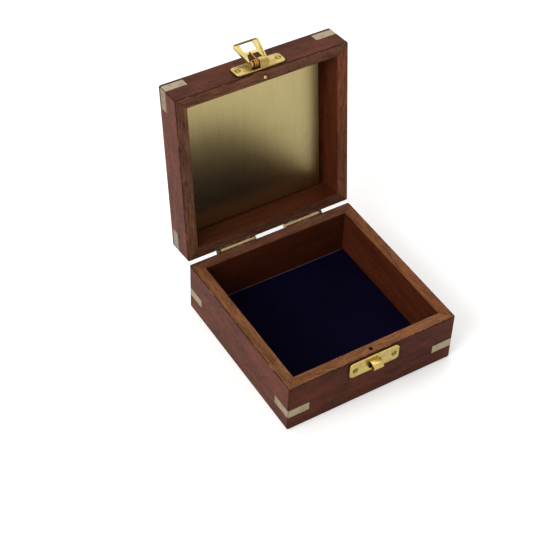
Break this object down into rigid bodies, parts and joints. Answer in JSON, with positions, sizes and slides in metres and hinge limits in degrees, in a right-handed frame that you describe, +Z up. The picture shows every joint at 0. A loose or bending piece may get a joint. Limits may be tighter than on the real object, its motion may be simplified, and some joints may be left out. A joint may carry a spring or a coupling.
{
  "type": "hinged box for a compass",
  "caption": "Square wooden case with a hinged lid held open by stop hinges, a snap hasp over a curled tongue, brass corner inlays, a velvet floor and a brass plate in the lid",
  "frame": {"origin": "centre of the flat underside of the base, which stands on a table", "axes": "+Z up, +Y towards the hinges at the rear, so -Y is the front with the catch plate, +X to the right seen from the front"},
  "size_m": [0.108, 0.1466, 0.1481],
  "materials": {
    "stained_wood": "satin",
    "board": "matte",
    "velvet": "matte",
    "inlay_brass": "satin",
    "plate_brass": "brushed",
    "hinge_brass": "satin",
    "latch_brass": "polished",
    "pin_brass": "satin",
    "spring_bronze": "satin",
    "screw_brass": "satin"
  },
  "bodies": {
    "base": {"base_front_wall": "stained_wood", "base_rear_wall": "stained_wood", "base_left_wall": "stained_wood", "base_right_wall": "stained_wood", "base_bottom_panel": "stained_wood", "pad_board": "board", "velvet_lining": "velvet", "base_inlay_front_left": "inlay_brass", "base_inlay_front_right": "inlay_brass", "base_inlay_rear_right": "inlay_brass", "base_inlay_rear_left": "inlay_brass", "catch_plate": "latch_brass", "catch_plate_screws": "screw_brass", "base_hinge_leaf_left": "hinge_brass", "base_hinge_leaf_right": "hinge_brass", "hinge_pin_left": "hinge_brass", "hinge_pin_right": "hinge_brass", "base_hinge_screws": "screw_brass"},
    "lid": {"lid_front_wall": "stained_wood", "lid_rear_wall": "stained_wood", "lid_left_wall": "stained_wood", "lid_right_wall": "stained_wood", "lid_top_panel": "stained_wood", "lid_brass_plate": "plate_brass", "lid_inlay_front_left": "inlay_brass", "lid_inlay_front_right": "inlay_brass", "lid_inlay_rear_right": "inlay_brass", "lid_inlay_rear_left": "inlay_brass", "hasp_plate": "latch_brass", "hasp_plate_screws": "screw_brass", "lid_hinge_leaf_left": "hinge_brass", "lid_hinge_leaf_right": "hinge_brass", "lid_hinge_screws": "screw_brass", "locating_pin": "latch_brass"},
    "hasp": {"hasp": "latch_brass", "hasp_pin": "pin_brass", "hasp_spring": "spring_bronze"}
  },
  "joints": [
    {"name": "lid_hinge", "type": "hinge", "parent": "base", "child": "lid", "pos_m": [0, 0.0548, 0.0334], "axis": [1, 0, 0], "range_deg": [0, 96]},
    {"name": "hasp_swing", "type": "hinge", "parent": "lid", "child": "hasp", "pos_m": [0, 0.07128, 0.14428], "axis": [1, 0, 0], "range_deg": [0, 158]}
  ]
}
